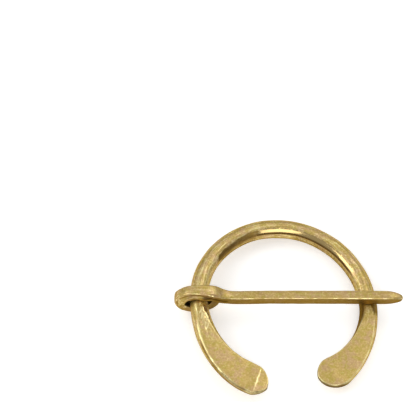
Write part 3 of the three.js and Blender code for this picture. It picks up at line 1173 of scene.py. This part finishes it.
        # Painted shadow of the shank where it crosses the wire.
        under_shank = window(self.angle, -0.5, 6.0, 1.2) * window(self.turn, -62.0, 62.0, 10.0)
        in_loop = window(self.angle, 174.5, 179.5, 1.0)
        patch = self.patch() * smoothstep(self.angle, 112.0, 132.0)
        neck = self.right_neck() * smoothstep(self.angle, -28.0, -6.0)
        lower = self.outer_left_side() * smoothstep(self.angle, 214.0, 236.0)
        return strongest(0.5 * under_shank, 0.8 * in_loop, 0.4 * patch, 0.45 * neck,
                         0.18 * self.painted_dark_reflection(), 0.2 * self.chatter(),
                         0.6 * self.ends() * smoothstep(self.rim, 0.85, 0.50), 0.15 * lower)

    def marks(self) -> dict[WearAndLight, Array]:
        """A grid for each mark."""
        drawn = 1.0 - self.strength * smoothstep(self.gap, -0.1, 0.2)
        return {WearAndLight.POLISH: self.polish(), WearAndLight.EDGE: self.edge(), WearAndLight.TARNISH_AND_SHADE: self.tarnish_and_shade(),
                WearAndLight.PAINTED_SHADE: self.painted_shade(), WearAndLight.DRAWN: drawn}


class PinWear:
    """Marks of wear of the pin, and its painted highlights and shade, as products of windows of its length
    and of its faces.

    The length is 6 at the loop's foot, 12 where the loop stands out furthest, 17 over the wire
    and 24 where the shank begins.
    """

    def __init__(self, fields: dict[str, Array]) -> None:
        """Keeps the grid's values. The front is the face on the near side."""
        self.length, self.rise, self.facing_up = fields["length"], fields["rise"], fields["facing_up"]
        self.from_tip = self.length.max() - self.length
        self.on_edge = np.clip(fields["on_edge"], 0.0, 1.0)
        self.near = fields["facing_side"] < 0
        self.front = smoothstep(-fields["facing_side"], 0.75, 0.95)
        self.back = smoothstep(fields["facing_side"], 0.75, 0.95)
        self.shank = smoothstep(self.length, 19.0, 22.0)
        self.free_end = smoothstep(self.length, 6.0, 4.5)
        self.grit = ripples(fields["straight"] * (0.6, 1.0, 1.0), length=0.5, height=1.0, seed=51)

    def edge(self) -> Array:
        """Upper near edge, rubbed and painted as a highlight in stretches and widest by the tip, and painted
        glints on the loop.

        Two of its brightest painted spots are on the strap and one is where the shank begins.
        """
        waves = sum(np.sin(rate * self.length + rate) for rate in (0.5, 1.7, 4.1))
        line = smoothstep(self.length, 23.0, 24.5) * (0.2 + 0.8 * smoothstep(waves, -0.9, 0.9))
        spots = (window(self.length, 16.9, 17.9, 0.4), window(self.length, 20.0, 20.7, 0.4),
                 0.9 * window(self.length, 25.2, 27.6, 0.7))
        by_tip = smoothstep(self.from_tip, 17.0, 9.0) * smoothstep(self.from_tip, 1.0, 3.0)
        thinness = lerp(4.0, 1.6, by_tip)
        rubbed = self.on_edge ** thinness * lerp(0.25, 1.0, self.near) * (self.facing_up > 0)
        flecks = smoothstep(self.grit, 0.4, 1.3) * window(self.length, 9.5, 13.6, 0.8)
        return strongest(rubbed * strongest(0.15, line, *spots), 0.6 * flecks)

    def front_dark_line(self) -> Array:
        """Dark line along the strap's front, where it runs into the shank."""
        return self.front * window(self.length, 19.2, 24.2, 1.0) * window(self.rise, -0.05, 0.22, 0.12)

    def tarnish_and_shade(self) -> Array:
        """Brown: painted shade on the front and back faces, the groove over the strap's lip, the loop's
        outer face, the far edge by the tip, the tip itself and the dark line on the strap's front; and a
        light even darkening all over.
        """
        strap = window(self.length, 12.0, 19.0, 2.0)
        groove = window(self.rise, 0.32, 0.62, 0.14) * strap
        foot = smoothstep(self.length, 11.5, 9.0)
        front = self.front * strongest(0.92 * self.shank, 0.9 * groove, 0.75 * foot, 0.35)
        outside = window(self.length, 9.5, 13.0, 1.5) * smoothstep(self.facing_up, 0.5, 0.9)
        far_edge = self.on_edge * ~self.near * smoothstep(self.from_tip, 4.5, 2.5)
        nose = smoothstep(self.from_tip, 0.9, 0.3)
        return strongest(front, self.front_dark_line(), 0.5 * self.back, 0.45 * outside, 0.8 * far_edge,
                         0.6 * nose, 0.16)

    def painted_shade(self, loop_length: float) -> Array:
        """Painted shade: the dark inside of the loop, its free end, the dark line on the strap's front and
        the shank's front.

        Args:
            loop_length: Length at which the loop opens into the strap.

        Returns:
            The mark, from 0 to 1.
        """
        inside = smoothstep(self.length, loop_length, loop_length - 2.0)
        inside = inside * smoothstep(-self.facing_up, 0.4, 0.8)
        return strongest(0.9 * inside, 0.13 * self.front * self.shank, 0.65 * self.front_dark_line(),
                         0.35 * self.front * self.free_end)

    def marks(self, loop_length: float) -> dict[WearAndLight, Array]:
        """A grid for each mark."""
        zero = np.zeros_like(self.length)
        return {WearAndLight.POLISH: zero, WearAndLight.EDGE: self.edge(), WearAndLight.TARNISH_AND_SHADE: self.tarnish_and_shade(),
                WearAndLight.PAINTED_SHADE: self.painted_shade(loop_length), WearAndLight.DRAWN: zero + 0.5}


@dataclass(frozen=True)
class Softbox:
    """Light on a stand: where it stands, how wide and high it is and how bright."""

    name: str
    azimuth: float
    elevation: float
    distance: float
    width: float
    height: float
    brightness: float

    def build(self) -> bpy.types.Object:
        """Light that faces the origin. Azimuth 0 is behind the camera, and 90 to the right."""
        turn, lift = np.radians(self.azimuth), np.radians(self.elevation)
        away = Vector((np.sin(turn) * np.cos(lift), -np.cos(turn) * np.cos(lift), np.sin(lift)))
        light = bpy.data.lights.new(self.name, "AREA")
        light.shape = "RECTANGLE"
        light.size, light.size_y = self.width, self.height
        light.energy = self.brightness * np.pi * self.width * self.height
        lamp = bpy.data.objects.new(self.name, light)
        lamp.location = away * self.distance
        lamp.rotation_euler = (-away).to_track_quat("-Z", "Y").to_euler()
        bpy.context.scene.collection.objects.link(lamp)
        return lamp


@dataclass(frozen=True)
class Studio:
    """Pale floor, soft lights and the camera, which looks down as the photograph's does."""

    floor_size: float = 3.0
    floor_colour: Colour = (0.93, 0.93, 0.93)
    floor_roughness: float = 0.9
    floor_specular: float = 0.1
    floor_glow: float = 0.40
    room_colour: Colour = (0.40, 0.40, 0.40)
    elevation: float = 62.4
    distance: float = 1.0
    sensor: float = 36.0
    pixels_per_mm: float = 4.55
    ring_pixel: tuple[float, float] = (283.7, 305.8)
    lights: tuple[Softbox, ...] = (
        Softbox("overhead", azimuth=174.0, elevation=60.0, distance=1.8, width=2.6, height=2.4,
                brightness=0.46),
        Softbox("front", azimuth=6.0, elevation=44.0, distance=1.6, width=0.95, height=1.15,
                brightness=1.9),
        Softbox("left", azimuth=-85.0, elevation=40.0, distance=1.6, width=0.75, height=0.8,
                brightness=2.5),
        Softbox("left back", azimuth=-114.0, elevation=42.0, distance=1.6, width=0.5, height=0.6,
                brightness=1.8),
        Softbox("back right", azimuth=138.0, elevation=48.0, distance=1.6, width=0.6, height=0.6,
                brightness=1.7),
        Softbox("right", azimuth=102.0, elevation=34.0, distance=1.6, width=0.7, height=0.7,
                brightness=0.8),
    )

    def build(self, ring_centre: Array) -> None:
        """Makes the floor, the lights and the camera round the ring's centre in millimetres."""
        half = self.floor_size / 2.0
        mesh = bpy.data.meshes.new("floor")
        mesh.from_pydata([(-half, -half, 0), (half, -half, 0), (half, half, 0), (-half, half, 0)],
                         [], [(0, 1, 2, 3)])
        floor = bpy.data.objects.new("floor", mesh)
        bpy.context.scene.collection.objects.link(floor)
        shader = Shader("pale floor")
        surface = shader.node("ShaderNodeBsdfPrincipled", {}, {
            "Base Color": (*self.floor_colour, 1.0), "Roughness": self.floor_roughness,
            "Specular IOR Level": self.floor_specular,
            "Emission Color": (*self.floor_colour, 1.0), "Emission Strength": self.floor_glow})
        shader.node("ShaderNodeOutputMaterial", {}, {"Surface": surface})
        mesh.materials.append(shader.material)
        world = bpy.data.worlds.new("room")
        world.use_nodes = True
        world.node_tree.nodes["Background"].inputs[0].default_value = (*self.room_colour, 1.0)
        bpy.context.scene.world = world
        bpy.context.scene.view_settings.view_transform = "Standard"
        for light in self.lights:
            light.build()
        self._camera(Vector(ring_centre * MM))

    def _camera(self, ring_centre: Vector) -> None:
        """Camera on the photograph's line of sight, turned until the ring's centre is in place."""
        lift = np.radians(self.elevation)
        back = Vector((0.0, -np.cos(lift), np.sin(lift)))
        up = Vector((0.0, np.sin(lift), np.cos(lift)))
        right = Vector((1.0, 0.0, 0.0))
        per_mm = MM / self.pixels_per_mm
        aim = (ring_centre - right * (self.ring_pixel[0] - PHOTO_WIDTH / 2.0) * per_mm
               + up * (self.ring_pixel[1] - PHOTO_HEIGHT / 2.0) * per_mm)
        data = bpy.data.cameras.new("camera")
        data.sensor_width = self.sensor
        data.lens = self.sensor * self.distance * self.pixels_per_mm / (PHOTO_WIDTH * MM)
        camera = bpy.data.objects.new("camera", data)
        place = ring_centre + back * self.distance
        forward = (aim - place).normalized()
        side = (right - forward * forward.dot(right)).normalized()
        top = side.cross(forward)
        turn = Matrix((side, top, -forward)).transposed()
        camera.matrix_world = Matrix.Translation(place) @ turn.to_4x4()
        bpy.context.scene.collection.objects.link(camera)
        bpy.context.scene.camera = camera


def report(piece: bpy.types.Object, node: str) -> None:
    """Logs a piece's triangles and how far its box stands from its node's box."""
    points = np.empty(len(piece.data.vertices) * 3, np.float32)
    piece.data.vertices.foreach_get("co", points)
    points = points.reshape(-1, 3) / MM
    low, high = (np.array(corner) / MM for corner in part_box(node))
    triangles = sum(len(face.vertices) - 2 for face in piece.data.polygons)
    log.info("%s: %d triangles, box off by %s and %s mm", piece.name, triangles,
             np.round(points.min(axis=0) - low, 3), np.round(points.max(axis=0) - high, 3))


def dress(name: str, node: str, body: str, points: Array, straight: Array,
          wear: dict[WearAndLight, Array], finish: Brass) -> bpy.types.Object:
    """Makes a piece in place of a node of the frame.

    Args:
        name: Name of the piece.
        node: Node that it stands for.
        body: Body that it rides on.
        points: Its grid in millimetres of the frame.
        straight: Places of the grid in the straightened bar.
        wear: Its marks of wear and of painted light and shade.
        finish: Its finish.

    Returns:
        The piece.
    """
    piece = closed_mesh(name, points, straight, wear)
    piece.data.materials.append(finish.make())
    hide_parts(node)
    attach(piece, body)
    report(piece, node)
    return piece


def main() -> None:
    """Makes the ring, the pin and the studio."""
    logging.basicConfig(level=logging.INFO, format="%(name)s: %(message)s")
    ring = Ring()
    pin = Pin(ring)
    flat_ring, ring_fields = ring.surface()
    flat_pin, pin_fields = pin.surface()
    rest = Rest.of(ring, pin, flat_ring)
    ring_ends = smoothstep(ring_fields["distance"], 0.0, 1.0)
    flat_ring = worked(flat_ring, ring_relief(flat_ring, ring_fields), ring_ends)
    flat_pin = worked(flat_pin, pin_relief(flat_pin, pin_fields, Forging()), pin_fields["fullness"])
    dress("ring_forged", "ring", "ring", rest.lay(flat_ring), ring_fields["straight"],
          RingWear(ring, flat_ring, ring_fields).marks(), Brass("ring brass"))
    dress("pin_forged", "pin", "pin", rest.lay(flat_pin + pin.wire_centre),
          pin_fields["straight"], PinWear(pin_fields).marks(pin.loop_length), Brass("pin brass"))
    Studio().build(rest.lay(np.zeros(3)))


if __name__ == "__main__":
    main()
